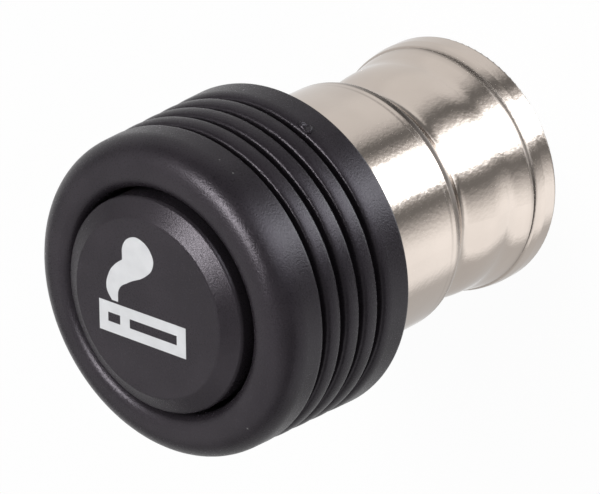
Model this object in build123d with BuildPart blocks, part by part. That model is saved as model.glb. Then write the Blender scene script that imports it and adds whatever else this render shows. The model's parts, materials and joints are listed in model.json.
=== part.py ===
from build123d import *
import os
from math import atan2, cos, radians, sin

# The removable lighter plug of a 12 V car lighter, in millimetres. A ribbed grip ring is snapped on a drawn
# sheath, and a sprung plunger runs through both: the push button at its front end, the heating element at
# its rear end. +Z runs along the axis from the rim of the sheath, which the plug stands on, to the button.

# Sheath: drawn from one sheet, outside radii set in from the rim, heights added up from the rim
sheath_wall = 0.5
rim_radius = 10.35
rim_land = 1.35
rim_edge_round = 0.15
rim_round = 1.25
taper_rise = 0.87
taper_inset = 0.13
crease_rise = 0.18
crease_inset = 0.27
crease_round = 0.3
waist_rise = 2.1
waist_inset = 0.75
waist_round = 4.25
belly_rise = 2.0
belly_inset = 0.73
belly_round = 7.75
valley_rise = 3.6
valley_inset = 1.82
valley_round = 2.25
shoulder_rise = 1.9
shoulder_round = 0.75
barrel_inset = 0.17
barrel_shown = 9.74
lip_width = 0.8
lip_round = 0.4

# Grip ring: moulded, with a draft from its rear edge to its rounded front
ring_length = 13.68
ring_rear_wall = 2.9
ring_front_wall = 2.42
ring_front_round = 2.35
ring_rear_round = 0.35
ring_seat_depth = 9.0
ring_bore_inset = 0.78
mouth_round = 1.1
groove_count = 4
groove_pitch = 2.04
groove_width = 0.72
groove_depth = 0.85
groove_edge_round = 0.3
rib_crown = 0.3
rear_band = 2.9

# Push button
button_proud = 1.05
bevel_width = 1.5
bevel_height = 0.9
bevel_round = 0.35
button_length = 9.0
button_wall = 1.2
button_top = 1.6
boss_wall = 1.0
boss_length = 4.5
web_count = 4
web_thickness = 1.0
web_depth = 3.4
insert_wall = 0.87
insert_length = 4.0

# Partition of the sheath, and the bush that guides the stem in it
guide_sheet = 0.5
guide_rim_height = 2.8
guide_channel = 1.58
guide_floor_rise = 4.85
guide_bend_round = 0.5
bush_wall = 1.05
bush_flange = 1.0
bush_flange_thickness = 0.8
bush_tail = 0.6
bush_chamfer = 0.25

# Stem, nut and washers at the button
stem_radius = 1.5
stem_end_gap = 0.4
stem_chamfer = 0.3
collar_width = 1.5
collar_thickness = 0.8
nut_across_flats = 5.5
nut_thickness = 1.8
lock_washer_thickness = 0.7
lock_washer_slit = 0.5
seat_sheet = 0.6
seat_ease = 0.45
seat_rim = 1.0

# Return spring, with a flat half turn at each end
spring_wire = 0.7
spring_ease = 0.55
spring_half_turns = 8

# Heating element, from the stem's collar down to the lip of the cup
buffer_width = 1.7
buffer_thickness = 0.6
guard_sheet = 0.4
guard_gap = 0.3
guard_dish_width = 2.5
guard_dish = 0.9
cone_washer_width = 1.87
cone_washer_sheet = 0.3
cone_washer_height = 0.6
contact_thickness = 0.5
insulator_width = 2.57
insulator_thickness = 1.0
insulator_boss_wall = 0.77
insulator_flange = 1.2
element_gap = 0.5
element_sheet = 0.4
element_height = 5.2
element_bend_round = 0.5
latch_groove_depth = 0.3
latch_groove_width = 1.1
latch_groove_drop = 1.0
mica_thickness = 0.25
pin_shank_radius = 1.0
pin_thread_length = 2.6
pin_flange = 1.2
pin_flange_thickness = 0.6
pin_stub_radius = 1.2
pin_stub_length = 2.2
ribbon_thickness = 0.3
ribbon_height = 1.8
ribbon_rise = 0.2
coil_half_turns = 12

# Fits
press_gap = 0.02
thread_gap = 0.03
seat_gap = 0.05
running_gap = 0.05
button_gap = 0.35
travel = 6.0
stop_gap = 0.05

# Heights that follow, from the rim up
taper_height = rim_land + taper_rise
crease_height = taper_height + crease_rise
waist_height = crease_height + waist_rise
belly_height = waist_height + belly_rise
valley_height = belly_height + valley_rise
shoulder_height = valley_height + shoulder_rise
ring_rear = shoulder_height + barrel_shown
lip_top = ring_rear + ring_seat_depth - seat_gap
guide_floor_top = shoulder_height + guide_floor_rise
bush_bottom = guide_floor_top - guide_sheet - bush_tail
ring_front = ring_rear + ring_length
button_face = ring_front + button_proud
button_ceiling = button_face - button_top
boss_bottom = button_ceiling - boss_length
seat_bottom = boss_bottom - seat_sheet
nut_top = seat_bottom - lock_washer_thickness
nut_bottom = nut_top - nut_thickness
bush_top = nut_bottom - travel - stop_gap

# Heights of the heating element, from the stop down
collar_top = bush_bottom - buffer_thickness
collar_bottom = collar_top - collar_thickness
cone_top = collar_bottom - guard_sheet
contact_top = cone_top - cone_washer_height
insulator_top = contact_top - contact_thickness
element_top = insulator_top - insulator_thickness
mica_top = element_top - element_sheet
insulator_flange_top = mica_top - mica_thickness
pin_flange_top = insulator_flange_top - insulator_thickness
pin_flange_bottom = pin_flange_top - pin_flange_thickness
ribbon_top = pin_flange_bottom - ribbon_rise
element_lip = element_top - element_height

# Radii that follow, from the rim in
taper_radius = rim_radius - taper_inset
crease_radius = rim_radius - crease_inset
waist_radius = rim_radius - waist_inset
belly_radius = rim_radius - belly_inset
valley_radius = rim_radius - valley_inset
barrel_radius = rim_radius - barrel_inset
lip_radius = barrel_radius + lip_width
barrel_bore = barrel_radius - sheath_wall
ring_bore = barrel_bore - ring_bore_inset
button_radius = ring_bore - button_gap
guide_hat_radius = barrel_bore - guide_channel
hat_bore = guide_hat_radius - guide_sheet
guard_radius = hat_bore - guard_gap
element_radius = hat_bore - element_gap
element_bore = element_radius - element_sheet

# Radii that follow, from the stem out
stem_bore = stem_radius + running_gap
loose_bore = stem_radius + thread_gap
bush_radius = stem_bore + bush_wall
bush_flange_radius = bush_radius + bush_flange
spring_radius = bush_flange_radius + spring_ease + spring_wire / 2
seat_radius = spring_radius + spring_wire / 2 + seat_ease + seat_sheet
insert_radius = loose_bore + insert_wall
boss_radius = insert_radius + boss_wall
collar_radius = stem_radius + collar_width
buffer_radius = stem_radius + buffer_width
cone_washer_radius = loose_bore + cone_washer_width
shank_bore = pin_shank_radius + thread_gap
insulator_radius = shank_bore + insulator_width
insulator_boss_radius = shank_bore + insulator_boss_wall
insulator_flange_radius = insulator_boss_radius + insulator_flange
insulator_bore = insulator_boss_radius + seat_gap
pin_flange_radius = pin_shank_radius + pin_flange


def turned(corners):
    """Face of a turned or moulded section in the XZ plane, from (radius, height, corner round) rows."""
    with BuildSketch(Plane.XZ) as section:
        with BuildLine():
            FilletPolyline(
                *[(radius, height) for radius, height, _ in corners],
                radius=[corner for _, _, corner in corners],
                close=True,
            )
        make_face()
    return section.sketch


def pressed(corners, sheet):
    """Face of a bent sheet's section in the XZ plane, from (radius, height, bend round) rows of its middle."""
    with BuildSketch(Plane.XZ) as section:
        with BuildLine():
            FilletPolyline(
                *[(radius, height) for radius, height, _ in corners],
                radius=[bend for _, _, bend in corners[1:-1]],
            )
        trace(line_width=sheet)
    return section.sketch


def write(piece, name):
    """Labels a finished piece and writes it."""
    piece.part.label = name
    export_step(piece.part, f"parts/{name}.step")


os.makedirs("parts", exist_ok=True)

# Sheath: rim, crease, waist, belly, valley, shoulder, barrel and the lip that the ring snaps over
half_wall = sheath_wall / 2
with BuildPart() as sheath:
    revolve(
        pressed(
            [
                (rim_radius - half_wall, 0, 0),
                (rim_radius - half_wall, rim_land, rim_round),
                (taper_radius - half_wall, taper_height, crease_round),
                (crease_radius - half_wall, crease_height, crease_round),
                (waist_radius - half_wall, waist_height, waist_round),
                (belly_radius - half_wall, belly_height, belly_round),
                (valley_radius - half_wall, valley_height, valley_round),
                (barrel_radius - half_wall, shoulder_height, shoulder_round),
                (barrel_radius - half_wall, lip_top - half_wall, lip_round),
                (lip_radius, lip_top - half_wall, 0),
            ],
            sheath_wall,
        ),
        axis=Axis.Z,
    )
    fillet(sheath.edges().group_by(Axis.Z)[0], radius=rim_edge_round)
write(sheath, "sheath")

# Grip ring: the draft gives the radius at each height, and the grooves are set off from the rear band
ring_rear_radius = barrel_radius + ring_rear_wall
ring_draft = (ring_rear_wall - ring_front_wall) / ring_length
seat_bore = barrel_radius + seat_gap
snap_bottom = lip_top - sheath_wall - seat_gap
snap_bore = lip_radius + seat_gap


def ring_side(height):
    """Outside radius of the grip ring at a height."""
    return ring_rear_radius - ring_draft * (height - ring_rear)


groove_lows = [ring_rear + rear_band + groove * groove_pitch for groove in range(groove_count)]
first_low = groove_lows[0]
last_high = groove_lows[-1] + groove_width
plain_corners = [
    (ring_side(last_high) - groove_depth, last_high, 0),
    (ring_side(last_high), last_high, groove_edge_round),
    (ring_side(ring_front), ring_front, ring_front_round),
    (ring_bore, ring_front, mouth_round),
    (ring_bore, lip_top + seat_gap, 0),
    (snap_bore, lip_top + seat_gap, 0),
    (snap_bore, snap_bottom, 0),
    (seat_bore, snap_bottom, 0),
    (seat_bore, ring_rear, 0),
    (ring_side(ring_rear), ring_rear, ring_rear_round),
    (ring_side(first_low), first_low, groove_edge_round),
    (ring_side(first_low) - groove_depth, first_low, 0),
]
with BuildPart() as grip_ring:
    with BuildSketch(Plane.XZ):
        with BuildLine():
            FilletPolyline(
                *[(radius, height) for radius, height, _ in plain_corners],
                radius=[corner for _, _, corner in plain_corners[1:-1]],
            )
            for low in groove_lows:
                high = low + groove_width
                Line((ring_side(low) - groove_depth, low), (ring_side(high) - groove_depth, high))
            for low, next_low in zip(groove_lows, groove_lows[1:]):
                rib_low = low + groove_width
                rib_middle = (rib_low + next_low) / 2
                foot_low = (ring_side(rib_low) - groove_depth, rib_low)
                foot_high = (ring_side(next_low) - groove_depth, next_low)
                edge_low = (ring_side(rib_low) - rib_crown, rib_low)
                edge_high = (ring_side(next_low) - rib_crown, next_low)
                Line(foot_low, edge_low)
                ThreePointArc(edge_low, (ring_side(rib_middle), rib_middle), edge_high)
                Line(edge_high, foot_high)
        make_face()
    revolve(axis=Axis.Z)
write(grip_ring, "grip_ring")

# Partition: a press-fit rim whose bend sits on the slope under the shoulder, and a raised hat over the
# heating element
half_guide_sheet = guide_sheet / 2
guide_rim_middle = barrel_bore - press_gap - half_guide_sheet
guide_hat_middle = guide_hat_radius - half_guide_sheet
slope = atan2(barrel_radius - valley_radius, shoulder_rise)
bend_reach = guide_bend_round + half_guide_sheet + half_wall
bend_inset = barrel_radius - half_wall - guide_rim_middle + guide_bend_round
guide_bend_height = shoulder_height + (bend_reach - bend_inset * cos(slope)) / sin(slope)
guide_foot = guide_bend_height - guide_bend_round - half_guide_sheet
with BuildPart() as guide_cup:
    revolve(
        pressed(
            [
                (guide_rim_middle, guide_foot + guide_rim_height, 0),
                (guide_rim_middle, guide_foot + half_guide_sheet, guide_bend_round),
                (guide_hat_middle, guide_foot + half_guide_sheet, 0),
                (guide_hat_middle, guide_floor_top - half_guide_sheet, guide_bend_round),
                (bush_radius + seat_gap, guide_floor_top - half_guide_sheet, 0),
            ],
            guide_sheet,
        ),
        axis=Axis.Z,
    )
write(guide_cup, "guide_cup")

# Guide bush: its flange sits on the partition, its top stops the nut, its tail stops the buffer
with BuildPart() as guide_bush:
    revolve(
        turned(
            [
                (stem_bore, bush_bottom, 0),
                (bush_radius - bush_chamfer, bush_bottom, 0),
                (bush_radius, bush_bottom + bush_chamfer, 0),
                (bush_radius, guide_floor_top, 0),
                (bush_flange_radius, guide_floor_top, 0),
                (bush_flange_radius, guide_floor_top + bush_flange_thickness, 0),
                (bush_radius, guide_floor_top + bush_flange_thickness, 0),
                (bush_radius, bush_top - bush_chamfer, 0),
                (bush_radius - bush_chamfer, bush_top, 0),
                (stem_bore, bush_top, 0),
            ]
        ),
        axis=Axis.Z,
    )
write(guide_bush, "guide_bush")

# Push button: a moulded cap with a boss for the insert and webs between boss and skirt
skirt_bottom = button_face - button_length
skirt_bore = button_radius - button_wall
insert_top = boss_bottom + insert_length
with BuildPart() as button:
    revolve(
        turned(
            [
                (0, button_face, 0),
                (button_radius - bevel_width, button_face, bevel_round),
                (button_radius, button_face - bevel_height, bevel_round),
                (button_radius, skirt_bottom, 0),
                (skirt_bore, skirt_bottom, 0),
                (skirt_bore, button_ceiling, 0),
                (boss_radius, button_ceiling, 0),
                (boss_radius, boss_bottom, 0),
                (insert_radius + press_gap, boss_bottom, 0),
                (insert_radius + press_gap, insert_top, 0),
                (0, insert_top, 0),
            ]
        ),
        axis=Axis.Z,
    )
    web_inner = (boss_radius + insert_radius) / 2
    web_outer = (button_radius + skirt_bore) / 2
    with BuildSketch(Plane.XY.offset(button_ceiling)):
        with PolarLocations((web_inner + web_outer) / 2, web_count):
            Rectangle(web_outer - web_inner, web_thickness)
    extrude(amount=-web_depth)
write(button, "button")

# Threaded insert in the boss
with BuildPart() as button_insert:
    with BuildSketch(Plane.XY.offset(boss_bottom)):
        Circle(insert_radius)
        Circle(loose_bore, mode=Mode.SUBTRACT)
    extrude(amount=insert_length - press_gap)
write(button_insert, "button_insert")

# Stem: threaded at both ends, outside at the button and inside at the element, with the stop collar between
stem_top = insert_top - stem_end_gap
with BuildPart() as stem:
    revolve(
        turned(
            [
                (0, stem_top, 0),
                (stem_radius - stem_chamfer, stem_top, 0),
                (stem_radius, stem_top - stem_chamfer, 0),
                (stem_radius, collar_top, 0),
                (collar_radius, collar_top, 0),
                (collar_radius, collar_bottom, 0),
                (stem_radius, collar_bottom, 0),
                (stem_radius, insulator_top, 0),
                (shank_bore, insulator_top, 0),
                (shank_bore, insulator_top + pin_thread_length + thread_gap, 0),
                (0, insulator_top + pin_thread_length + thread_gap, 0),
            ]
        ),
        axis=Axis.Z,
    )
write(stem, "stem")

# Spring seat: a dished washer clamped under the boss, its rim turned down round the spring
half_seat_sheet = seat_sheet / 2
with BuildPart() as spring_seat:
    revolve(
        pressed(
            [
                (loose_bore, boss_bottom - half_seat_sheet, 0),
                (seat_radius - half_seat_sheet, boss_bottom - half_seat_sheet, 0),
                (seat_radius - half_seat_sheet, seat_bottom - seat_rim, 0),
            ],
            seat_sheet,
        ),
        axis=Axis.Z,
    )
write(spring_seat, "spring_seat")

# Lock washer: a split ring between the seat and the nut
with BuildPart() as lock_washer:
    with BuildSketch(Plane.XY.offset(nut_top)):
        Circle(nut_across_flats / 2)
        Circle(loose_bore, mode=Mode.SUBTRACT)
        with Locations((nut_across_flats / 2, 0)):
            Rectangle(nut_across_flats, lock_washer_slit, mode=Mode.SUBTRACT)
    extrude(amount=lock_washer_thickness)
write(lock_washer, "lock_washer")

# Lock nut: a hexagon with both sides turned to a chamfer
nut_corner_radius = nut_across_flats / 2 / cos(radians(30))
nut_chamfer = nut_corner_radius - nut_across_flats / 2
with BuildPart() as lock_nut:
    with BuildSketch(Plane.XY.offset(nut_bottom)):
        RegularPolygon(nut_corner_radius, 6)
        Circle(loose_bore, mode=Mode.SUBTRACT)
    extrude(amount=nut_thickness)
    revolve(
        turned(
            [
                (0, nut_bottom, 0),
                (nut_across_flats / 2, nut_bottom, 0),
                (nut_corner_radius, nut_bottom + nut_chamfer, 0),
                (nut_corner_radius, nut_top - nut_chamfer, 0),
                (nut_across_flats / 2, nut_top, 0),
                (0, nut_top, 0),
            ]
        ),
        axis=Axis.Z,
        mode=Mode.INTERSECT,
    )
write(lock_nut, "lock_nut")

# Return spring: half turns that rise in step from the partition to the seat, the first and the last flat
wire_low = guide_floor_top + spring_wire / 2
wire_high = seat_bottom - spring_wire / 2
rising_half_turns = spring_half_turns - 2
rise = (wire_high - wire_low) / rising_half_turns
with BuildPart() as return_spring:
    with BuildLine() as wire_line:
        for half_turn in range(spring_half_turns):
            side = 1 - 2 * (half_turn % 2)
            steps_below = max(half_turn - 1, 0)
            steps_above = min(half_turn, rising_half_turns)
            foot = Vector(side * spring_radius, 0, wire_low + rise * steps_below)
            head = Vector(-side * spring_radius, 0, wire_low + rise * steps_above)
            crown = (foot + head) / 2 + Vector(0, side * (head - foot).length / 2, 0)
            ThreePointArc(foot, crown, head)
    with BuildSketch(Plane(origin=wire_line.line @ 0, z_dir=wire_line.line % 0)):
        Circle(spring_wire / 2)
    sweep(path=wire_line.line)
write(return_spring, "return_spring")

# Buffer washer on the collar: it meets the bush when the plunger springs back
with BuildPart() as buffer_washer:
    with BuildSketch(Plane.XY.offset(collar_top)):
        Circle(buffer_radius)
        Circle(loose_bore, mode=Mode.SUBTRACT)
    extrude(amount=buffer_thickness)
write(buffer_washer, "buffer_washer")

# Ash guard: a disc under the collar, dished over the cup
half_guard_sheet = guard_sheet / 2
with BuildPart() as ash_guard:
    revolve(
        pressed(
            [
                (loose_bore, collar_bottom - half_guard_sheet, 0),
                (guard_radius - half_guard_sheet - guard_dish_width, collar_bottom - half_guard_sheet, 0),
                (guard_radius - half_guard_sheet, collar_bottom - half_guard_sheet - guard_dish, 0),
            ],
            guard_sheet,
        ),
        axis=Axis.Z,
    )
write(ash_guard, "ash_guard")

# Cone washer: its inner edge bears on the guard, its outer edge on the contact washer
with BuildPart() as spring_washer:
    revolve(
        turned(
            [
                (loose_bore, cone_top, 0),
                (loose_bore, cone_top - cone_washer_sheet, 0),
                (cone_washer_radius, contact_top, 0),
                (cone_washer_radius, contact_top + cone_washer_sheet, 0),
            ]
        ),
        axis=Axis.Z,
    )
write(spring_washer, "spring_washer")

# Contact washer round the stem's spigot
with BuildPart() as contact_washer:
    with BuildSketch(Plane.XY.offset(insulator_top)):
        Circle(cone_washer_radius)
        Circle(loose_bore, mode=Mode.SUBTRACT)
    extrude(amount=contact_thickness)
write(contact_washer, "contact_washer")

# Upper insulator between the stem and the cup
with BuildPart() as upper_insulator:
    with BuildSketch(Plane.XY.offset(element_top)):
        Circle(insulator_radius)
        Circle(shank_bore, mode=Mode.SUBTRACT)
    extrude(amount=insulator_thickness)
write(upper_insulator, "upper_insulator")

# Element cup: drawn, open to the rear, with the groove that the socket's clip latches in
half_element_sheet = element_sheet / 2
element_middle = element_radius - half_element_sheet
groove_middle = element_middle - latch_groove_depth
groove_top = element_top - latch_groove_drop
groove_bottom = groove_top - latch_groove_width
with BuildPart() as element_cup:
    revolve(
        pressed(
            [
                (insulator_bore, element_top - half_element_sheet, 0),
                (element_middle, element_top - half_element_sheet, element_bend_round),
                (element_middle, groove_top, 0),
                (groove_middle, groove_top - latch_groove_depth, 0),
                (groove_middle, groove_bottom + latch_groove_depth, 0),
                (element_middle, groove_bottom, 0),
                (element_middle, element_lip, 0),
            ],
            element_sheet,
        ),
        axis=Axis.Z,
    )
write(element_cup, "element_cup")

# Mica disc on the floor of the cup
with BuildPart() as mica_disc:
    with BuildSketch(Plane.XY.offset(insulator_flange_top)):
        Circle(element_middle - element_bend_round)
        Circle(insulator_bore, mode=Mode.SUBTRACT)
    extrude(amount=mica_thickness)
write(mica_disc, "mica_disc")

# Lower insulator: a boss through mica and cup, and a flange under them
with BuildPart() as lower_insulator:
    revolve(
        turned(
            [
                (shank_bore, pin_flange_top, 0),
                (insulator_flange_radius, pin_flange_top, 0),
                (insulator_flange_radius, insulator_flange_top, 0),
                (insulator_boss_radius, insulator_flange_top, 0),
                (insulator_boss_radius, element_top, 0),
                (shank_bore, element_top, 0),
            ]
        ),
        axis=Axis.Z,
    )
write(lower_insulator, "lower_insulator")

# Coil pin: screwed into the stem, its flange clamps the stack and its stub carries the coil
with BuildPart() as coil_pin:
    revolve(
        turned(
            [
                (0, insulator_top + pin_thread_length, 0),
                (pin_shank_radius, insulator_top + pin_thread_length, 0),
                (pin_shank_radius, pin_flange_top, 0),
                (pin_flange_radius, pin_flange_top, 0),
                (pin_flange_radius, pin_flange_bottom, 0),
                (pin_stub_radius, pin_flange_bottom, 0),
                (pin_stub_radius, pin_flange_bottom - pin_stub_length, 0),
                (0, pin_flange_bottom - pin_stub_length, 0),
            ]
        ),
        axis=Axis.Z,
    )
write(coil_pin, "coil_pin")

# Heating coil: half turns about two centres in turn, each wider than the last by the same growth, so that
# the ribbon leaves the pin's stub and ends on the wall of the cup
first_turn = pin_stub_radius + press_gap + ribbon_thickness / 2
last_turn = element_bore - press_gap - ribbon_thickness / 2
growth = (last_turn - first_turn) / coil_half_turns
with BuildPart() as heating_coil:
    with BuildSketch(Plane.XY.offset(ribbon_top)):
        with BuildLine():
            for half_turn in range(coil_half_turns):
                side = half_turn % 2
                CenterArc((growth * side, 0), first_turn + growth * half_turn, 180 * side, 180)
        trace(line_width=ribbon_thickness)
    extrude(amount=-ribbon_height)
write(heating_coil, "heating_coil")
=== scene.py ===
# %% [markdown]
# # A car lighter plug, dressed in Blender
#
# The plug is the part that is pulled out of a car's lighter socket: a ribbed black grip ring, a black push
# button with a printed sign, and a nickel-plated sheath with the heating element inside. Its solids come
# from CAD, in metres and in one frame: +Z runs along the axis, from the rim that the plug stands on to the
# button. This lesson sets up the camera and the studio of the photo, gives each solid its finish, prints
# the sign, makes the spring, the heating ribbon and the ribbed ring with Geometry Nodes, and adds the mark
# that moulding leaves.

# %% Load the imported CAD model
import json
import math

import bpy
from mathutils import Matrix, Vector


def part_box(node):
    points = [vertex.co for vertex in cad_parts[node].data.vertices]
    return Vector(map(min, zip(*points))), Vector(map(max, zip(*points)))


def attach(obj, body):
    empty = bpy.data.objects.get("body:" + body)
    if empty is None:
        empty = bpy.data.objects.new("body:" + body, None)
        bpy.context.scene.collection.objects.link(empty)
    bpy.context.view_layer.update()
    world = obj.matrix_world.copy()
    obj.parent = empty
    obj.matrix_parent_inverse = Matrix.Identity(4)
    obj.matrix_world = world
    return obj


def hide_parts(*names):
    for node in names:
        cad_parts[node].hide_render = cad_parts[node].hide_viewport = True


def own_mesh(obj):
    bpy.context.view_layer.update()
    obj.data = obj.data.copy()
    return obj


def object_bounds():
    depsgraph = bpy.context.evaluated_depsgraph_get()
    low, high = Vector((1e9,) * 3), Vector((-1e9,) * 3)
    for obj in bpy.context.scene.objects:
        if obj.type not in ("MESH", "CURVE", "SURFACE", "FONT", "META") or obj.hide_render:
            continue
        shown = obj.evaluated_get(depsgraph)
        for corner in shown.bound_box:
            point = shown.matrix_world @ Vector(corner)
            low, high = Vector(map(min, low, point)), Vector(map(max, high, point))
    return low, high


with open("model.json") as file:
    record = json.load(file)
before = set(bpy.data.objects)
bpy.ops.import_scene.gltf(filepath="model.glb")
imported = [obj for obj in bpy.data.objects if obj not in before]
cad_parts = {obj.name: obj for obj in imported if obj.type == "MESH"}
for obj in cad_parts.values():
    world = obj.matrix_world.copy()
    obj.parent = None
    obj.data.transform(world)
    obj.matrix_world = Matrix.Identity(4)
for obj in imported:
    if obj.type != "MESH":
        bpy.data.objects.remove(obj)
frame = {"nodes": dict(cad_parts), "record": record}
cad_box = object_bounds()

MM = 0.001
scene = bpy.context.scene
scene.view_settings.view_transform = "Standard"
cad_sides = [round(side / MM, 2) for side in cad_box[1] - cad_box[0]]
print("CAD nodes:", len(frame["nodes"]), "box in mm:", cad_sides)

# %% [markdown]
# ## The camera
#
# A camera could be placed by eye, but a fit is better: the rings of the plug are circles, so their ellipses
# in the photo give the camera's elevation and roll, and the sign gives its azimuth. The camera looks down
# at the plug from 312 mm away, 44 degrees over the floor, and is rolled so far that the plug's axis runs
# from lower left to upper right. Azimuth is counted from +X, elevation from the floor, and roll about the
# line of sight.

# %% Camera
CAMERA_AZIMUTH = math.radians(34.77)
CAMERA_ELEVATION = math.radians(44.32)
CAMERA_ROLL = math.radians(-116.17)
CAMERA_DISTANCE = 312 * MM
CAMERA_AIM = Vector((1.679, 0.147, 20.911)) * MM
CAMERA_LENS = 246.1
CAMERA_CLIP = 10 * MM
SENSOR_WIDTH = 36.0


def on_dome(azimuth, elevation):
    """Unit vector from the middle of the studio towards a place on its dome."""
    flat = math.cos(elevation)
    return Vector((flat * math.cos(azimuth), flat * math.sin(azimuth), math.sin(elevation)))


def facing(direction):
    """Rotation whose Z axis is a direction and whose X axis is level, as a camera or a lamp has it."""
    level = Vector((0, 0, 1)).cross(direction).normalized()
    return Matrix((level, direction.cross(level), direction)).transposed().to_4x4()


def stand(thing, direction, distance, turn):
    """Puts a camera or a lamp in the scene, which looks at the aim and is turned about its line of sight."""
    place = Matrix.Translation(CAMERA_AIM + distance * direction)
    thing.matrix_world = place @ facing(direction) @ Matrix.Rotation(turn, 4, "Z")
    scene.collection.objects.link(thing)


camera_data = bpy.data.cameras.new("photo_camera")
camera_data.lens = CAMERA_LENS
camera_data.sensor_width = SENSOR_WIDTH
camera_data.clip_start = CAMERA_CLIP
camera = bpy.data.objects.new("photo_camera", camera_data)
stand(camera, on_dome(CAMERA_AZIMUTH, CAMERA_ELEVATION), CAMERA_DISTANCE, CAMERA_ROLL)
scene.camera = camera
print("camera at, in mm:", [round(x / MM, 1) for x in camera.matrix_world.translation])

# %% [markdown]
# ## The studio: a dome for reflections
#
# Bright plating shows little of its own: it shows the studio. The photo's bands run along the sheath, so
# what they mirror are long lights beside each other: a broad strip light that passes in front of the plug
# and under it, a dark gap on each side, a narrower soft light, and grey walls. Cards could do that, but a
# pattern in the world is seen alike from every height of the sheath. Such a pattern is a chain of nodes, so
# two helpers come first: one feeds an input, and one makes a node. In a world's tree, Generated is the
# direction that a ray has.

# %% World and directions


def feed(tree, socket, source):
    """Joins an input to another socket, or sets it to a value."""
    if isinstance(source, bpy.types.NodeSocket):
        tree.links.new(source, socket)
    elif source is not None:
        socket.default_value = source


def joined(tree, kind, *sources, **settings):
    """New node with settings on it, its first inputs fed in order."""
    made = tree.nodes.new(kind)
    for name, value in settings.items():
        setattr(made, name, value)
    for socket, source in zip(made.inputs, sources):
        feed(tree, socket, source)
    return made


world = bpy.data.worlds.new("studio")
world.use_nodes = True
world.cycles.sampling_method = "NONE"
scene.world = world
dome = world.node_tree
dome.nodes.clear()
direction = joined(dome, "ShaderNodeTexCoord").outputs["Generated"]
height = joined(dome, "ShaderNodeSeparateXYZ", direction).outputs["Z"]
print("world:", world.name)

# %% [markdown]
# ### Where a direction lies across the strips
#
# The pattern needs one coordinate: how far a direction points sideways, across the strips. It is divided by
# a spread that shrinks towards the ground, because the strips close in there. A ramp's values end at 1, so
# the spread is halved in it, and the quotient runs from -2 to 2. A ramp's places run from 0 to 1, so places
# that are easier to think of from -1 to 1, with the middle of the strips at 0, are moved when they become
# stops.

# %% Place across the strips
STRIP_AZIMUTH = math.radians(36)
STRIP_SPREAD = [  # height on the dome, spread of the strips
    (-1.00, 0.62), (-0.87, 0.64), (-0.70, 0.72), (-0.48, 0.92), (-0.20, 1.02), (1.00, 1.05),
]


def reach_along(tree, vector, axis):
    """How far a vector reaches along an axis."""
    return joined(tree, "ShaderNodeVectorMath", vector, axis, operation="DOT_PRODUCT").outputs["Value"]


def calculate(tree, operation, first, second=None):
    """Result of one sum on two sockets or values."""
    return joined(tree, "ShaderNodeMath", first, second, operation=operation).outputs[0]


def ranged(tree, source, start, end, low=0.0, high=1.0, **settings):
    """A source's values between start and end, carried over to low and high."""
    return joined(tree, "ShaderNodeMapRange", source, start, end, low, high, **settings).outputs[0]


def as_colour(value):
    """Colour with its alpha, from three parts or from a level of grey."""
    return (*value, 1) if isinstance(value, tuple) else (value, value, value, 1)


def ramp(tree, source, stops, interpolation="LINEAR"):
    """Colour output of a ramp with stops of a place and a colour or level."""
    made = joined(tree, "ShaderNodeValToRGB", source)
    made.color_ramp.interpolation = interpolation
    elements = made.color_ramp.elements
    while len(elements) < len(stops):
        elements.new(1.0)
    for element, (position, colour) in zip(elements, stops):
        element.position = position
        element.color = as_colour(colour)
    return made.outputs["Color"]


def centred(pairs):
    """Stops of a ramp from pairs whose places run from -1 to 1."""
    return [((position + 1) / 2, value) for position, value in pairs]


strip_way = on_dome(STRIP_AZIMUTH, 0)
sideways = reach_along(dome, direction, Vector((-strip_way.y, strip_way.x, 0)))
half_spread = ramp(dome, ranged(dome, height, -1, 1), centred([(z, width / 2) for z, width in STRIP_SPREAD]))
place = ranged(dome, calculate(dome, "DIVIDE", sideways, half_spread), -2, 2)
print("strips run towards:", [round(x, 2) for x in strip_way])

# %% [markdown]
# ### Levels of the strips
#
# Four ramps hold the levels: two for the walls, before and behind the plug, and two for the table under it.
# They were set by comparing the bands on the sheath with the photo's. A B-spline ramp softens each edge.
# Its colours end at 1 too, so the levels are divided by the brightest one and multiplied again after it.
# The lamps are a little cooler than the walls.

# %% Levels of the strips
DOME_PEAK = 9.5
FRONT_WALL = [  # place across the strips, level
    (-1.00, 1.15), (-0.88, 1.32), (-0.78, 1.15), (-0.66, 0.70), (-0.54, 0.30), (-0.45, 0.20), (-0.37, 0.24),
    (-0.29, 0.50), (-0.22, 2.00), (-0.14, 6.00), (-0.05, 9.50), (0.10, 9.50), (0.22, 7.00), (0.33, 2.50),
    (0.41, 0.95), (0.49, 0.42), (0.57, 0.18), (0.65, 0.18), (0.73, 0.50), (0.83, 0.86), (1.00, 0.82),
]
BACK_WALL = [
    (-1.00, 0.62), (-0.45, 0.56), (-0.20, 0.75), (0.00, 0.85), (0.30, 0.82), (0.60, 0.76), (1.00, 0.76),
]
FRONT_TABLE = [
    (-1.00, 0.80), (-0.72, 0.60), (-0.54, 0.12), (-0.40, 0.12), (-0.28, 0.80), (-0.12, 4.00), (0.05, 6.00),
    (0.20, 4.00), (0.34, 0.80), (0.46, 0.20), (0.60, 0.14), (1.00, 0.30),
]
BACK_TABLE = [
    (-1.00, 0.80), (-0.36, 0.74), (-0.20, 0.30), (-0.08, 0.12), (0.10, 0.10), (0.30, 0.28), (1.00, 0.36),
]
COOL = (-0.04, 0.00, 0.04)
COOL_LEVELS = (0.9, 2.4)
BACK_EDGE = (0.05, -0.20)
TABLE_EDGE = (-0.74, -0.86)
MIX_COLOURS = (6, 7)
MIX_RESULT = 2


def eased(source, start, end):
    """Smooth step from 0 at one value of a source to 1 at another."""
    return ranged(dome, source, start, end, interpolation_type="SMOOTHSTEP")


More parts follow.
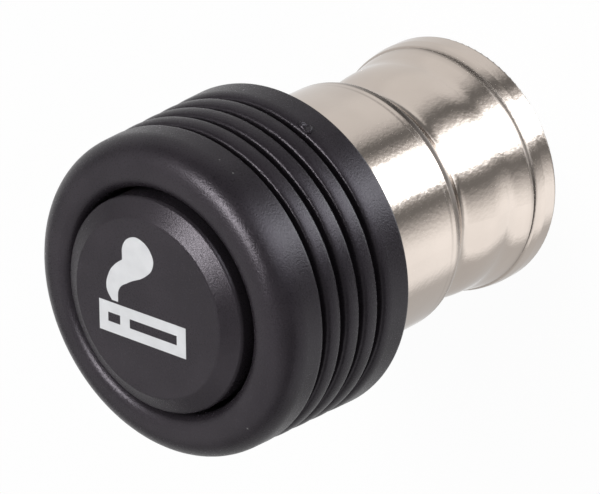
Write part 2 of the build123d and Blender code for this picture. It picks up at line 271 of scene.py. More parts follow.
def blended(tree, share, first, second):
    """Mix by a share of two colours, each a socket, three parts or a level."""
    made = joined(tree, "ShaderNodeMix", share, data_type="RGBA")
    for number, source in zip(MIX_COLOURS, (first, second)):
        is_socket = isinstance(source, bpy.types.NodeSocket)
        feed(tree, made.inputs[number], source if is_socket else as_colour(source))
    return made.outputs[MIX_RESULT]


def product(first, second):
    """Two colours of the dome multiplied."""
    return joined(dome, "ShaderNodeVectorMath", first, second, operation="MULTIPLY").outputs[0]


def cooled(level):
    """Colour of a level for a ramp: grey for the walls, and a little cooler the brighter a lamp is."""
    start, end = COOL_LEVELS
    share = min(1.0, max(0.0, (level - start) / (end - start)))
    return tuple(level / DOME_PEAK * (1 + share * part) for part in COOL)


def strips(levels):
    """Colour of strips beside each other, from their places and levels."""
    stops = centred([(position, cooled(level)) for position, level in levels])
    return product(ramp(dome, place, stops, "B_SPLINE"), (DOME_PEAK,) * 3)


behind = eased(reach_along(dome, direction, strip_way), *BACK_EDGE)
walls = blended(dome, behind, strips(FRONT_WALL), strips(BACK_WALL))
table = blended(dome, behind, strips(FRONT_TABLE), strips(BACK_TABLE))
mirrored = blended(dome, eased(height, *TABLE_EDGE), walls, table)
print("stops of the strips:", [len(part) for part in (FRONT_WALL, BACK_WALL, FRONT_TABLE, BACK_TABLE)])

# %% [markdown]
# ### Dark belt, ceiling and key
#
# Over the horizon the walls pass into a darker belt, which the sloping parts mirror, such as the sheath's
# shoulder and the ring's round front. Over it lies the ceiling, dim in front and brighter behind. The key
# lamp shows in it as an oval: the sum of two squares, one for each of its axes, is 1 at the oval's edge.
# The same sum is small on the far side of the dome as well, under the floor, so only what lies high counts.

# %% Dark belt and ceiling
FRONT_BELT = [  # place across the strips, share of the wall's level
    (-1.00, 0.10), (-0.40, 0.10), (-0.18, 0.60), (0.24, 0.60), (0.45, 0.12), (1.00, 0.15),
]
BACK_BELT = 0.45
BELT_EDGE = (-0.04, 0.20)
CEILING_FRONT = 0.35
CEILING_BACK = 1.22
CEILING_EDGE = (0.30, 0.62)

belt = blended(dome, behind, ramp(dome, place, centred(FRONT_BELT)), BACK_BELT)
mirrored = product(mirrored, blended(dome, eased(height, *BELT_EDGE), 1.0, belt))
ceiling = blended(dome, behind, CEILING_FRONT, CEILING_BACK)
mirrored = blended(dome, eased(height, *CEILING_EDGE), mirrored, ceiling)
print("belt and ceiling over heights:", BELT_EDGE, CEILING_EDGE)

# %% Gloss of the key
KEY_AZIMUTH = math.radians(97)
KEY_ELEVATION = math.radians(68)
KEY_TURN = math.radians(-62)
KEY_REACH = (0.34, 0.15)
KEY_EDGE = (1.3, 0.6)
KEY_HIGH = (0.5, 0.6)
KEY_GLOSS = 18.0

key_frame = facing(on_dome(KEY_AZIMUTH, KEY_ELEVATION)) @ Matrix.Rotation(KEY_TURN, 4, "Z")
squares = []
for axis, reach in zip((key_frame.col[0].xyz, key_frame.col[1].xyz), KEY_REACH):
    part = calculate(dome, "DIVIDE", reach_along(dome, direction, axis), reach)
    squares.append(calculate(dome, "MULTIPLY", part, part))
in_oval = eased(calculate(dome, "ADD", *squares), *KEY_EDGE)
on_key = calculate(dome, "MULTIPLY", in_oval, eased(height, *KEY_HIGH))
mirrored = blended(dome, on_key, mirrored, KEY_GLOSS)
print("key's oval, half axes:", KEY_REACH)

# %% [markdown]
# ### Which ray sees what
#
# Only glossy rays see the pattern. The camera sees plain white, and all other light is a plain grey, so
# that the pattern doesn't colour the plastic. The world is not sampled as a lamp, so each kind of ray meets
# its own version.

# %% Rays
WHITE = (1, 1, 1, 1)
PLAIN_LEVEL = 0.42

rays = joined(dome, "ShaderNodeLightPath").outputs
glossy_part = joined(dome, "ShaderNodeBackground", mirrored, 1.0).outputs[0]
white_part = joined(dome, "ShaderNodeBackground", WHITE, 1.0).outputs[0]
plain_part = joined(dome, "ShaderNodeBackground", WHITE, PLAIN_LEVEL).outputs[0]
seen = calculate(dome, "MAXIMUM", rays["Is Camera Ray"], rays["Is Transmission Ray"])
lit = joined(dome, "ShaderNodeMixShader", rays["Is Glossy Ray"], plain_part, glossy_part).outputs[0]
whole = joined(dome, "ShaderNodeMixShader", seen, lit, white_part).outputs[0]
joined(dome, "ShaderNodeOutputWorld", whole)
print("dome:", len(dome.nodes), "nodes")

# %% [markdown]
# ## Lamps and floor
#
# Two soft lamps do the modelling: a key high over the button, which gives the light on its bevel and on the
# ring's front, and a weak fill. The floor is plain and pale. To the camera most of its colour is white by
# itself, so that it meets the white background, and the rest is lit, so that the plug keeps a soft shadow.
# It is left out of reflections, where the dome is seen instead.

# %% Lamps
LAMPS = [  # name, azimuth, elevation, turn of the length from level, distance, length, width, power in watts
    ("key_softbox", KEY_AZIMUTH, KEY_ELEVATION, KEY_TURN, 0.45, 0.30, 0.12, 1.25),
    ("fill_softbox", math.radians(-60), math.radians(50), 0.0, 0.60, 0.45, 0.45, 0.25),
]
for name, azimuth, elevation, turn, distance, length, width, power in LAMPS:
    lamp_data = bpy.data.lights.new(name, "AREA")
    lamp_data.shape = "RECTANGLE"
    lamp_data.size = length
    lamp_data.size_y = width
    lamp_data.energy = power
    stand(bpy.data.objects.new(name, lamp_data), on_dome(azimuth, elevation), distance, turn)
print("lamps:", [name for name, *_ in LAMPS])

# %% Floor
FLOOR_SIDE = 6.0
FLOOR_COLOUR = (0.8, 0.8, 0.8, 1)
FLOOR_WHITE_SHARE = 0.96

floor_mesh = bpy.data.meshes.new("floor")
half = FLOOR_SIDE / 2
floor_corners = [(-half, -half, 0), (half, -half, 0), (half, half, 0), (-half, half, 0)]
floor_mesh.from_pydata(floor_corners, [], [(0, 1, 2, 3)])
floor = bpy.data.objects.new("floor", floor_mesh)
floor.visible_glossy = False
scene.collection.objects.link(floor)
floor_paper = bpy.data.materials.new("floor_paper")
floor_paper.use_nodes = True
paper = floor_paper.node_tree
paper.nodes.clear()
matt = joined(paper, "ShaderNodeBsdfDiffuse", FLOOR_COLOUR).outputs[0]
white = joined(paper, "ShaderNodeEmission", WHITE, 1.0).outputs[0]
to_camera = joined(paper, "ShaderNodeLightPath").outputs["Is Camera Ray"]
white_share = calculate(paper, "MULTIPLY", to_camera, FLOOR_WHITE_SHARE)
both = joined(paper, "ShaderNodeMixShader", white_share, matt, white).outputs[0]
joined(paper, "ShaderNodeOutputMaterial", both)
floor_mesh.materials.append(floor_paper)
print("floor:", FLOOR_SIDE, "m")

# %% [markdown]
# ## Black moulded plastic
#
# Ring and button are moulded in black plastic with a fine spark-eroded grain. A flat black would look like
# paint, so three things are layered: a noise that barely changes the black, a finer noise that breaks up
# the highlights as bump and as roughness, and rare pale specks of dust, which are cells of a Voronoi
# texture that a random threshold picks out. All of them read Object coordinates, in metres, so a scale of
# 8000 makes a grain of about an eighth of a millimetre.

# %% Helpers for finishes
NOISE_MIDDLE = (0.3, 0.7)
GRAIN_DETAIL = 3.0
TURNING_WOBBLE = 0.6
finishes = {}


def new_finish(name, metallic=0.0):
    """Material with its tree, its shader and the piece's own coordinates, kept by its slot's name."""
    material = bpy.data.materials.new(name)
    finishes[name] = material
    material.use_nodes = True
    tree = material.node_tree
    shader = tree.nodes["Principled BSDF"]
    shader.inputs["Metallic"].default_value = metallic
    return material, tree, shader, joined(tree, "ShaderNodeTexCoord").outputs["Object"]


def fitted(tree, kind, inputs, **settings):
    """New node with settings on it, its inputs fed by their names."""
    made = joined(tree, kind, **settings)
    for name, source in inputs.items():
        feed(tree, made.inputs[name], source)
    return made


def noise(tree, coords, scale, detail):
    """Value of a noise texture, about 1/scale metres to a blotch."""
    inputs = {"Vector": coords, "Scale": scale, "Detail": detail}
    return fitted(tree, "ShaderNodeTexNoise", inputs).outputs["Fac"]


def grained(tree, shader, coords, grain, roughness, depth, turning=0.0):
    """Gives a shader a grain, in its roughness and as bump of a depth, with turning rings if asked."""
    fine = noise(tree, coords, grain, GRAIN_DETAIL)
    feed(tree, shader.inputs["Roughness"], ranged(tree, fine, *NOISE_MIDDLE, *roughness))
    if turning:
        waves = fitted(
            tree,
            "ShaderNodeTexWave",
            {"Vector": coords, "Scale": turning, "Distortion": TURNING_WOBBLE},
            wave_type="RINGS",
            rings_direction="Z",
        )
        fine = calculate(tree, "ADD", fine, waves.outputs["Fac"])
    bump = fitted(tree, "ShaderNodeBump", {"Strength": 1.0, "Distance": depth, "Height": fine})
    feed(tree, shader.inputs["Normal"], bump.outputs["Normal"])


# %% Moulded black plastic
PLASTIC_BLACK = (0.0180, 0.0153, 0.0186)
PLASTIC_WORN = (0.0260, 0.0223, 0.0266)
PLASTIC_SHEEN = (0.98, 0.91, 1.0)
PLASTIC_SPECULAR = 0.22
PLASTIC_ROUGHNESS = (0.24, 0.36)
WORN_SCALE = 260
WORN_STOPS = (0.35, 0.75)
BLOTCH_DETAIL = 4.0
DUST = (0.22, 0.22, 0.22)
DUST_SCALE = 700
DUST_SIZE = 0.045
DUST_RARITY = 0.90


def moulded_black(name, grain, depth):
    """Black plastic with a moulded grain of a size, a few rubbed patches and rare specks of dust."""
    material, tree, shader, coords = new_finish(name)
    worn = noise(tree, coords, WORN_SCALE, BLOTCH_DETAIL)
    tone = ramp(tree, worn, list(zip(WORN_STOPS, (PLASTIC_BLACK, PLASTIC_WORN))))
    cells = fitted(tree, "ShaderNodeTexVoronoi", {"Vector": coords, "Scale": DUST_SCALE}).outputs
    near = calculate(tree, "LESS_THAN", cells["Distance"], DUST_SIZE)
    pick = joined(tree, "ShaderNodeSeparateColor", cells["Color"]).outputs["Red"]
    rare = calculate(tree, "GREATER_THAN", pick, DUST_RARITY)
    dusty = blended(tree, calculate(tree, "MULTIPLY", near, rare), tone, DUST)
    feed(tree, shader.inputs["Base Color"], dusty)
    feed(tree, shader.inputs["Specular IOR Level"], PLASTIC_SPECULAR)
    feed(tree, shader.inputs["Specular Tint"], as_colour(PLASTIC_SHEEN))
    grained(tree, shader, coords, grain, PLASTIC_ROUGHNESS, depth)
    return material


grip_plastic = moulded_black("grip_plastic", 7400, 0.018 * MM)
button_plastic = moulded_black("button_plastic", 8600, 0.016 * MM)
print("plastics:", grip_plastic.name, button_plastic.name)

# %% [markdown]
# ## Metals
#
# The sheath is drawn from sheet and plated with bright nickel, which is a warm silver. Metal is one shader
# with Metallic at 1, and its colour is what it reflects. What tells nickel from chrome is that warmth, and
# a faint grain, about a third of a millimetre wide, that frays the edges of each reflection. The pieces
# inside get duller metals by the same recipe: zinc plate with crystalline blotches, blued spring steel,
# brass with turning rings, stainless steel that heat has tinted towards straw and brown, and scaled
# resistance ribbon.

# %% Metals
METAL_STOPS = (0.35, 0.68)
METAL_DETAIL = 3.0


def metal(name, colours, blotch, roughness, grain, depth, turning=0.0):
    """Metal between two colours in blotches of a scale, with a grain, and with turning rings if asked."""
    material, tree, shader, coords = new_finish(name, 1.0)
    tone = ramp(tree, noise(tree, coords, blotch, METAL_DETAIL), list(zip(METAL_STOPS, colours)))
    feed(tree, shader.inputs["Base Color"], tone)
    grained(tree, shader, coords, grain, roughness, depth, turning)
    return material


nickel_plate = metal(
    "nickel_plate", ((0.65, 0.57, 0.508), (0.70, 0.615, 0.549)), 180, (0.03, 0.09), 3000, 0.010 * MM
)
zinc_steel = metal(
    "zinc_steel", ((0.48, 0.50, 0.53), (0.62, 0.63, 0.64)), 900, (0.28, 0.45), 6000, 0.004 * MM
)
spring_steel = metal(
    "spring_steel", ((0.28, 0.28, 0.30), (0.40, 0.40, 0.42)), 700, (0.25, 0.42), 7000, 0.003 * MM
)
stainless = metal(
    "stainless", ((0.55, 0.53, 0.50), (0.46, 0.38, 0.29)), 260, (0.22, 0.40), 7000, 0.003 * MM
)
brass = metal(
    "brass", ((0.72, 0.54, 0.26), (0.62, 0.44, 0.20)), 500, (0.22, 0.36), 6000, 0.003 * MM, turning=900
)
resistance_ribbon = metal(
    "resistance_ribbon", ((0.30, 0.28, 0.27), (0.16, 0.14, 0.14)), 800, (0.42, 0.65), 9000, 0.006 * MM
)
metals = (nickel_plate, zinc_steel, spring_steel, stainless, brass, resistance_ribbon)
print("metals:", [material.name for material in metals])

# %% [markdown]
# ## Painted shade in the sheath's folds
#
# The crease and the corner at the shoulder lie in shade, so painted shade darkens and dulls the plate
# along these lines, and along the rim's edge as well. Each line is a ring, so a ramp over the height holds
# them all. The painted shade is heavier on one side of the plug, so the ramp is weakened by how far a point
# reaches towards that side. The result is mixed into what the plate already has: its colour and its
# roughness.

# %% Nickel with painted shade in its folds
FOLDS_TOP = 16.0
FOLDS = [  # height in mm, share of painted shade
    (0.00, 0.80), (0.15, 0.70), (0.27, 0.00), (1.70, 0.00), (2.20, 0.20), (2.42, 0.90), (2.57, 0.90),
    (2.80, 0.20), (3.30, 0.00), (10.00, 0.00), (10.70, 0.12), (11.30, 0.35), (11.80, 0.75), (12.08, 1.00),
    (12.38, 1.00), (12.50, 0.10), (12.74, 0.00), (12.86, 0.35), (12.96, 0.35), (13.12, 0.00),
]
# painted shade: the side where it is heaviest, how it fades away from that side, and its colour
SHADED_SIDE = math.radians(48)
SHADE_REACH = (6.2 * MM, 9.6 * MM)
SHADE_ELSEWHERE = 0.25
PAINTED_SHADE_COLOUR = (0.065, 0.055, 0.048)
SHADED_ROUGHNESS = 0.5

tree = nickel_plate.node_tree
shader = tree.nodes["Principled BSDF"]
clean_colour = shader.inputs["Base Color"].links[0].from_socket
clean_roughness = shader.inputs["Roughness"].links[0].from_socket
coords = joined(tree, "ShaderNodeTexCoord").outputs["Object"]
up_the_sheath = ranged(tree, joined(tree, "ShaderNodeSeparateXYZ", coords).outputs["Z"], 0.0, FOLDS_TOP * MM)
folds = ramp(tree, up_the_sheath, [(fold / FOLDS_TOP, share) for fold, share in FOLDS])
towards = reach_along(tree, coords, on_dome(SHADED_SIDE, 0))
# painted shade: the ramp over the height, weaker away from the shaded side
painted_shade = calculate(tree, "MULTIPLY", folds, ranged(tree, towards, *SHADE_REACH, SHADE_ELSEWHERE, 1.0))
dulled = ranged(tree, painted_shade, 0.0, 1.0, clean_roughness, SHADED_ROUGHNESS)
# the painted shade darkens the plate's colour and raises its roughness
feed(tree, shader.inputs["Base Color"], blended(tree, painted_shade, clean_colour, PAINTED_SHADE_COLOUR))
feed(tree, shader.inputs["Roughness"], dulled)
print("tarnish:", len(FOLDS), "stops,", len(tree.nodes), "nodes in", nickel_plate.name)

# %% [markdown]
# ## Insulators and ink
#
# Behind the coil sit insulators that stand the heat: unglazed steatite, which is a chalky cream, pressed
# mica with a flaky gloss, and a washer of red-brown fibre. The sign is pad-printed in a pale grey ink that
# lies thinly over the button's grain. One recipe makes them all: a non-metal shader whose colour comes in
# soft blotches, or in flakes for the mica.

# %% Insulators and ink


def dry_finish(name, colours, blotch, roughness, grain, depth, flakes=False):
    """Non-metal between two colours, in soft blotches or in flakes with edges."""
    material, tree, shader, coords = new_finish(name)
    if flakes:
        cells = fitted(tree, "ShaderNodeTexVoronoi", {"Vector": coords, "Scale": blotch}).outputs
        patch = joined(tree, "ShaderNodeSeparateColor", cells["Color"]).outputs["Red"]
    else:
        patch = noise(tree, coords, blotch, BLOTCH_DETAIL)
    feed(tree, shader.inputs["Base Color"], ramp(tree, patch, list(zip(NOISE_MIDDLE, colours))))
    grained(tree, shader, coords, grain, roughness, depth)
    return material


fibre = dry_finish(
    "fibre", ((0.20, 0.07, 0.045), (0.32, 0.13, 0.08)), 1500, (0.55, 0.8), 5000, 0.010 * MM
)
ceramic = dry_finish(
    "ceramic", ((0.70, 0.66, 0.59), (0.80, 0.77, 0.71)), 600, (0.6, 0.85), 6000, 0.006 * MM
)
mica = dry_finish(
    "mica", ((0.36, 0.28, 0.18), (0.54, 0.46, 0.34)), 900, (0.25, 0.5), 4000, 0.004 * MM, flakes=True
)
sign_print = dry_finish(
    "sign_print", ((0.63, 0.635, 0.65), (0.70, 0.705, 0.72)), 900, (0.5, 0.65), 9000, 0.006 * MM
)
print("dry finishes:", [material.name for material in (fibre, ceramic, mica, sign_print)])

# %% [markdown]
# ## Finishes on the CAD nodes
#
# The record names a material slot for each node, and the finishes above carry the same names. So no list is
# needed: each node's slot is looked up, and its one plain material, which came with the model, is replaced.

# %% Dress the CAD nodes
for subpart in frame["record"]["subparts"]:
    node_mesh = frame["nodes"][subpart["node"]].data
    node_mesh.materials.clear()
    node_mesh.materials.append(finishes[subpart["material_slot"]])

# %% [markdown]
# ## The printed sign
#
# The sign on the button is the common one for a lighter: a cigarette as a frame with two windows, and a
# plume of smoke. It is flat, so a 2D curve suits it: the frame is a rectangle, its windows are rectangles
# inside it, which a 2D curve cuts out by itself, and the plume is a few Bezier points with automatic
# handles. The curve becomes a mesh with a thickness of ink, and lies on the button's face. All its sizes
# are in millimetres.

# %% Curve of the sign
CIGARETTE = (-4.78, -2.92, 3.79, -0.43)
TIP_WINDOW = (-3.90, -2.05, -2.70, -1.30)
LONG_WINDOW = (-1.75, -2.05, 2.90, -1.29)
PLUME = [
    (-3.48, -0.22), (-3.98, 0.60), (-3.71, 1.97), (-3.09, 2.80), (-2.37, 3.37), (-2.25, 4.60), (-1.53, 5.37),
    (-0.53, 5.46), (0.62, 4.43), (0.63, 3.50), (-0.12, 2.60), (-1.73, 1.69), (-2.72, 0.90), (-2.88, -0.22),
]
PLUME_SHARP = (0, 4, 13)
PLUME_STEPS = 12
INK_THICKNESS = 0.02


def add_rectangle(curve, left, bottom, right, top):
    """Closed rectangle in a curve."""
    spline = curve.splines.new("POLY")
    spline.points.add(3)
    for point, (x, y) in zip(spline.points, ((left, bottom), (right, bottom), (right, top), (left, top))):
        point.co = (x, y, 0, 1)
    spline.use_cyclic_u = True


sign_curve = bpy.data.curves.new("lighter_sign", "CURVE")
sign_curve.dimensions = "2D"
sign_curve.fill_mode = "BOTH"
sign_curve.extrude = INK_THICKNESS / 2
sign_curve.resolution_u = PLUME_STEPS
for rectangle in (CIGARETTE, TIP_WINDOW, LONG_WINDOW):
    add_rectangle(sign_curve, *rectangle)
plume = sign_curve.splines.new("BEZIER")
plume.bezier_points.add(len(PLUME) - 1)
for number, (point, (x, y)) in enumerate(zip(plume.bezier_points, PLUME)):
    point.co = (x, y, 0)
    kind = "VECTOR" if number in PLUME_SHARP else "AUTO"
    point.handle_left_type = kind
    point.handle_right_type = kind
plume.use_cyclic_u = True
print("sign:", len(sign_curve.splines), "outlines")

# %% Print the sign


def as_mesh_piece(source, name):
    """Plain mesh object of what an object looks like with its modifiers, and the source removed."""
    bpy.context.view_layer.update()
    graph = bpy.context.evaluated_depsgraph_get()
    final = source.evaluated_get(graph)
    mesh = bpy.data.meshes.new_from_object(final, preserve_all_data_layers=True, depsgraph=graph)
    bpy.data.objects.remove(source)
    mesh.name = name
    piece = bpy.data.objects.new(name, mesh)
    scene.collection.objects.link(piece)
    return piece


sign_source = bpy.data.objects.new("lighter_sign_curve", sign_curve)
scene.collection.objects.link(sign_source)
sign = as_mesh_piece(sign_source, "lighter_sign")
button_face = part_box("button")[1].z
sign.data.transform(Matrix.Translation((0, 0, button_face)) @ Matrix.Scale(MM, 4))
sign.data.materials.clear()
sign.data.materials.append(sign_print)
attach(sign, "plunger")
print("sign:", len(sign.data.polygons), "faces")

# %% [markdown]
# ## The return spring
#
# A spring is a wire that follows a path, so Geometry Nodes can wind it. A Spiral curve without height is
# made first, and Set Position lifts each point: the first and last half turn stay flat, as the ends of a
# closed spring do, and the turns between rise evenly. Curve to Mesh runs a circle along it. The tree's
# inputs are the sizes, so another spring needs no other tree.

# %% Helpers for trees


def new_tree(name, sizes, start=None):
    """Geometry node tree with inputs for a start, if it has one, and for its sizes, and its end sockets."""
    tree = bpy.data.node_groups.new(name, "GeometryNodeTree")
    if start:
        tree.interface.new_socket(start, in_out="INPUT", socket_type="NodeSocketGeometry")
    for size in sizes:
        tree.interface.new_socket(size, in_out="INPUT", socket_type="NodeSocketFloat")
    tree.interface.new_socket("Finish", in_out="INPUT", socket_type="NodeSocketMaterial")
    tree.interface.new_socket("Mesh", in_out="OUTPUT", socket_type="NodeSocketGeometry")
    return tree, tree.nodes.new("NodeGroupInput").outputs, tree.nodes.new("NodeGroupOutput").inputs


def sweep_and_close(tree, given, result, path, profile, capped=True):
    """Ends a tree: a profile swept along a path, instances made real, smooth faces, and its finish."""
    inputs = {"Curve": path, "Profile Curve": profile, "Fill Caps": capped}
    swept = fitted(tree, "GeometryNodeCurveToMesh", inputs).outputs[0]
    real = joined(tree, "GeometryNodeRealizeInstances", swept).outputs[0]
    smooth = joined(tree, "GeometryNodeSetShadeSmooth", real).outputs[0]
    finished = fitted(tree, "GeometryNodeSetMaterial", {"Geometry": smooth, "Material": given["Finish"]})
    tree.links.new(finished.outputs[0], result["Mesh"])


def lifted(tree, curve, lift):
    """A curve with each point raised."""
    offset = joined(tree, "ShaderNodeCombineXYZ", 0.0, 0.0, lift).outputs[0]
    return fitted(tree, "GeometryNodeSetPosition", {"Geometry": curve, "Offset": offset}).outputs[0]


# %% Spring tree
SPRING_STEPS = 48
WIRE_SIDES = 14

tree, given, result = new_tree("wound_spring", ["Wire", "Coil Radius", "Half Turns", "Bottom", "Top"])
level_turns = fitted(
    tree,
    "GeometryNodeCurveSpiral",
    {
        "Resolution": SPRING_STEPS,
        "Height": 0.0,
        "Rotations": calculate(tree, "DIVIDE", given["Half Turns"], 2.0),
        "Start Radius": given["Coil Radius"],
        "End Radius": given["Coil Radius"],
    },
).outputs[0]
along = tree.nodes.new("GeometryNodeSplineParameter").outputs["Factor"]
rising = calculate(tree, "SUBTRACT", given["Half Turns"], 2.0)
passed = calculate(tree, "SUBTRACT", calculate(tree, "MULTIPLY", along, given["Half Turns"]), 1.0)
climbed = joined(tree, "ShaderNodeClamp", calculate(tree, "DIVIDE", passed, rising)).outputs[0]
half_wire = calculate(tree, "DIVIDE", given["Wire"], 2.0)
lowest = calculate(tree, "ADD", given["Bottom"], half_wire)
highest = calculate(tree, "SUBTRACT", given["Top"], half_wire)
path = lifted(tree, level_turns, ranged(tree, climbed, 0.0, 1.0, lowest, highest))
wire_sizes = {"Resolution": WIRE_SIDES, "Radius": half_wire}
wire_round = fitted(tree, "GeometryNodeCurvePrimitiveCircle", wire_sizes).outputs[0]
sweep_and_close(tree, given, result, path, wire_round)
spring_tree = tree
print("spring tree:", len(spring_tree.nodes), "nodes")

# %% Wind the spring
SPRING_WIRE = 0.70 * MM
SPRING_HALF_TURNS = 8


def run_tree(name, tree, values, start=None):
    """Mesh piece made by a tree from values for its inputs, and from a start mesh if it has one."""
    source = bpy.data.objects.new(name + "_source", start or bpy.data.meshes.new(name + "_source"))
    scene.collection.objects.link(source)
    modifier = source.modifiers.new(name, "NODES")
    modifier.node_group = tree
    for socket in tree.interface.items_tree:
        if socket.in_out == "INPUT" and socket.name in values:
            modifier[socket.identifier] = values[socket.name]
    return as_mesh_piece(source, name)


spring_low, spring_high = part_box("return_spring")
spring = run_tree(
    "wound_return_spring",
    spring_tree,
    {
        "Wire": SPRING_WIRE,
        "Coil Radius": spring_high.x - SPRING_WIRE / 2,
        "Half Turns": float(SPRING_HALF_TURNS),
        "Bottom": spring_low.z,
        "Top": spring_high.z,
        "Finish": spring_steel,
    },
)
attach(spring, "shell")
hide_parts("return_spring")
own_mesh(spring)

# %% [markdown]
# ## The heating ribbon
#
# The ribbon is a second thing that follows a path. Its spiral lies flat, so the Spiral node needs no height
# at all: its radius grows from the pin to the wall of the cup. The section is a rectangle stood on edge,
# with its corners rounded, because a rolled ribbon has no sharp edges and a rounded one catches the light.

# %% Ribbon tree
RIBBON_STEPS = 56
RIBBON_EDGE_STEPS = 3

tree, given, result = new_tree(
    "wound_ribbon", ["Thickness", "Height", "Edge Round", "First Radius", "Last Radius", "Turns", "Middle"]
)
flat_spiral = fitted(
    tree,
    "GeometryNodeCurveSpiral",
    {
        "Resolution": RIBBON_STEPS,
        "Height": 0.0,
        "Rotations": given["Turns"],
        "Start Radius": given["First Radius"],
        "End Radius": given["Last Radius"],
    },
).outputs[0]
section_sizes = {"Width": given["Thickness"], "Height": given["Height"]}
section = fitted(tree, "GeometryNodeCurvePrimitiveQuadrilateral", section_sizes).outputs[0]
edge_sizes = {"Count": RIBBON_EDGE_STEPS, "Curve": section, "Radius": given["Edge Round"]}
rounded = fitted(tree, "GeometryNodeFilletCurve", edge_sizes, mode="POLY").outputs[0]
sweep_and_close(tree, given, result, lifted(tree, flat_spiral, given["Middle"]), rounded)
ribbon_tree = tree
print("ribbon tree:", len(ribbon_tree.nodes), "nodes")

# %% Wind the ribbon
RIBBON_THICKNESS = 0.30 * MM
RIBBON_EDGE_ROUND = 0.08 * MM
RIBBON_TURNS = 6.0
STUB_RADIUS = 1.37 * MM

ribbon_low, ribbon_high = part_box("heating_coil")
ribbon = run_tree(
    "wound_heating_ribbon",
    ribbon_tree,
    {
        "Thickness": RIBBON_THICKNESS,
        "Height": ribbon_high.z - ribbon_low.z,
        "Edge Round": RIBBON_EDGE_ROUND,
        "First Radius": STUB_RADIUS,
        "Last Radius": ribbon_high.x - RIBBON_THICKNESS / 2,
        "Turns": RIBBON_TURNS,
        "Middle": (ribbon_high.z + ribbon_low.z) / 2,
        "Finish": resistance_ribbon,
    },
)
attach(ribbon, "plunger")
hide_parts("heating_coil")
print("ribbon:", len(ribbon.data.polygons), "faces")

# %% [markdown]
# ## The grip ring
#
# The ring is a turned form: one section, carried round a circle. The CAD ring has this outline, bore and
# grooves too. What the light shows more of is the shape of a rib: tight at the edge that faces the rear,
# flat on top, and falling away in a soft curve towards the button. So the section is drawn again with these
# edges, as a loop of corners that are each rounded by their own two lengths, and a tree sweeps it round the
# axis. A point held close beside each rounding keeps the shading of the flats flat. The sizes are in
# millimetres.

# %% Section of the ring
RING_REAR_RADIUS = 13.08
RING_FRONT_RADIUS = 12.60
REAR_ROUND = (0.362, 0.362)
FRONT_ROUND = (2.269, 2.269)
MOUTH_RADIUS = 8.90
MOUTH_ROUND = (1.1, 1.1)
SEAT_BORE = 10.23
SNAP_BORE = 11.03
SNAP_LOW, SNAP_HIGH = 30.14, 30.74
FIRST_GROOVE = 24.64
GROOVE_PITCH = 2.04
GROOVE_WIDTHS = (0.72, 0.72, 0.72, 0.64)
GROOVE_DEPTH = 0.85
RIB_FALL = (0.80, 0.42)
RIB_EDGE = (0.17, 0.40)
GROOVE_ROOT = (0.10, 0.10)
CRISP = (0.03, 0.03)
HOLD = 0.03
FEWEST_STEPS = 3
STEPS_PER_MM = 4

ring_rear, ring_front = (corner.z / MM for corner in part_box("grip_ring"))


def ring_side(level):
    """Radius of the ring's drafted side at a height."""
    share = (level - ring_rear) / (ring_front - ring_rear)
    return RING_REAR_RADIUS + share * (RING_FRONT_RADIUS - RING_REAR_RADIUS)


def rounded_loop(corners):
    """Points of a closed loop whose corners are rounded, each by a length before it and one after it."""
    points = []
    for number, (spot, (before, after)) in enumerate(corners):
        come = (spot - corners[number - 1][0]).normalized()
        go = (corners[(number + 1) % len(corners)][0] - spot).normalized()
        steps = FEWEST_STEPS + round(STEPS_PER_MM * max(before, after))
        points.append(spot - (before + HOLD) * come)
        for step in range(steps + 1):
            turn = math.pi / 2 * step / steps
            points.append(spot - before * (1 - math.sin(turn)) * come + after * (1 - math.cos(turn)) * go)
        points.append(spot + (after + HOLD) * go)
    return points


ring_corners = [((SEAT_BORE, ring_rear), CRISP), ((RING_REAR_RADIUS, ring_rear), REAR_ROUND)]
for number, groove_width in enumerate(GROOVE_WIDTHS):
    low = FIRST_GROOVE + number * GROOVE_PITCH
    high = low + groove_width
    ring_corners += [
        ((ring_side(low), low), RIB_FALL),
        ((ring_side(low) - GROOVE_DEPTH, low), GROOVE_ROOT),
        ((ring_side(high) - GROOVE_DEPTH, high), GROOVE_ROOT),
        ((ring_side(high), high), RIB_EDGE),
    ]
ring_corners += [
    ((RING_FRONT_RADIUS, ring_front), FRONT_ROUND),
    ((MOUTH_RADIUS, ring_front), MOUTH_ROUND),
    ((MOUTH_RADIUS, SNAP_HIGH), CRISP),
    ((SNAP_BORE, SNAP_HIGH), CRISP),
    ((SNAP_BORE, SNAP_LOW), CRISP),
    ((SEAT_BORE, SNAP_LOW), CRISP),
]
ring_section = rounded_loop([(Vector(spot), rounding) for spot, rounding in ring_corners])
print("ring section:", len(ring_corners), "corners,", len(ring_section), "points")

# %% [markdown]
# ### Turning the section
#
# The section is a mesh of edges, which Mesh to Curve turns into a profile. Curve to Mesh lays a profile's
# +Y along -Z here, so the heights are negated, and the loop is reversed so that the faces point outwards.

# %% Turn the ring
RING_SIDES = 288

tree, given, result = new_tree("turned_ring", ["Turning Radius"], "Section")
profile = joined(tree, "GeometryNodeMeshToCurve", given["Section"]).outputs[0]
path_sizes = {"Resolution": RING_SIDES, "Radius": given["Turning Radius"]}
round_path = fitted(tree, "GeometryNodeCurvePrimitiveCircle", path_sizes).outputs[0]
sweep_and_close(tree, given, result, round_path, profile, capped=False)

section_mesh = bpy.data.meshes.new("ring_section")
section_mesh.from_pydata(
    [((radius - MOUTH_RADIUS) * MM, -level * MM, 0) for radius, level in reversed(ring_section)],
    [(number, (number + 1) % len(ring_section)) for number in range(len(ring_section))],
    [],
)
ring_sizes = {"Turning Radius": MOUTH_RADIUS * MM, "Finish": grip_plastic}
ring = run_tree("turned_grip_ring", tree, ring_sizes, section_mesh)
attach(ring, "shell")
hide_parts("grip_ring")
print("ring:", len(ring.data.polygons), "faces")

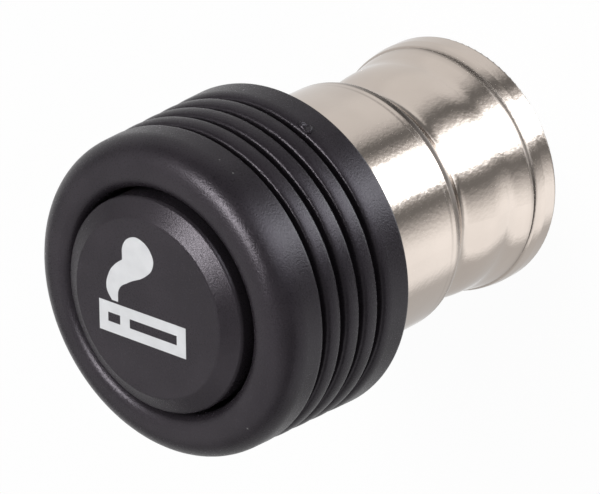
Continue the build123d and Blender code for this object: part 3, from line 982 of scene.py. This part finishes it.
# %% [markdown]
# ## The gate mark
#
# The mould was filled through a small gate at the ring's rear band. Where the sprue was broken off, a low
# torn oval is left. It is small, so a fan of a few rings will do: each ring has its own height over the
# band, and its outline is made uneven with two sines. A last point inside the band closes it below.

# %% Points of the gate mark
GATE_AZIMUTH = math.radians(66.8)
GATE_HEIGHT = 24.25 * MM
GATE_SIZE = (0.62 * MM, 0.45 * MM)
GATE_RINGS = [  # share of the size, height over the band in mm
    (0.42, 0.01), (0.60, 0.10), (0.72, 0.17), (0.84, 0.14), (0.94, 0.02), (1.0, -0.04),
]
GATE_SIDES = 26
GATE_MIDDLE = 0.02 * MM
GATE_ROOT = -0.2 * MM
OUTLINE_WAVES = [(0.12, 3, 0.6), (0.07, 7, 0.0)]  # share, waves round, phase
TORN_WAVE = (0.5, 2, 1.0)
BAND_RADIUS = 12.99 * MM


def wave(angle, share, waves, phase):
    """A sine round the mark."""
    return share * math.sin(waves * angle + phase)


outward = on_dome(GATE_AZIMUTH, 0)
aside = Vector((-outward.y, outward.x, 0))
gate_points = []
for share, lift in GATE_RINGS:
    for number in range(GATE_SIDES):
        angle = 2 * math.pi * number / GATE_SIDES
        uneven = 1 + sum(wave(angle, *outline) for outline in OUTLINE_WAVES)
        across = GATE_SIZE[0] * share * uneven * math.cos(angle)
        along = GATE_SIZE[1] * share * uneven * math.sin(angle)
        torn = lift * (1 + wave(angle, *TORN_WAVE)) * MM
        over = math.sqrt(BAND_RADIUS**2 - across**2) + torn
        gate_points.append(over * outward + across * aside + Vector((0, 0, GATE_HEIGHT + along)))
for lift in (GATE_MIDDLE, GATE_ROOT):
    gate_points.append((BAND_RADIUS + lift) * outward + Vector((0, 0, GATE_HEIGHT)))
print("gate mark:", len(gate_points), "points")

# %% Faces of the gate mark
top_point, root_point = len(gate_points) - 2, len(gate_points) - 1
last_ring = (len(GATE_RINGS) - 1) * GATE_SIDES
gate_faces = []
for number in range(GATE_SIDES):
    after = (number + 1) % GATE_SIDES
    gate_faces.append((top_point, number, after))
    gate_faces.append((root_point, last_ring + after, last_ring + number))
    for inner in range(0, last_ring, GATE_SIDES):
        outer = inner + GATE_SIDES
        gate_faces.append((inner + number, outer + number, outer + after, inner + after))
gate_mesh = bpy.data.meshes.new("gate_mark")
gate_mesh.from_pydata(gate_points, [], gate_faces)
gate_mesh.polygons.foreach_set("use_smooth", [True] * len(gate_faces))
gate_mesh.materials.append(grip_plastic)
gate_mark = bpy.data.objects.new("gate_mark", gate_mesh)
scene.collection.objects.link(gate_mark)
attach(gate_mark, "shell")
print("gate mark:", len(gate_faces), "faces")

# %% [markdown]
# ## Sizes
#
# Blender dresses the part and doesn't resize it.

# %% The end
print("scene dressed")
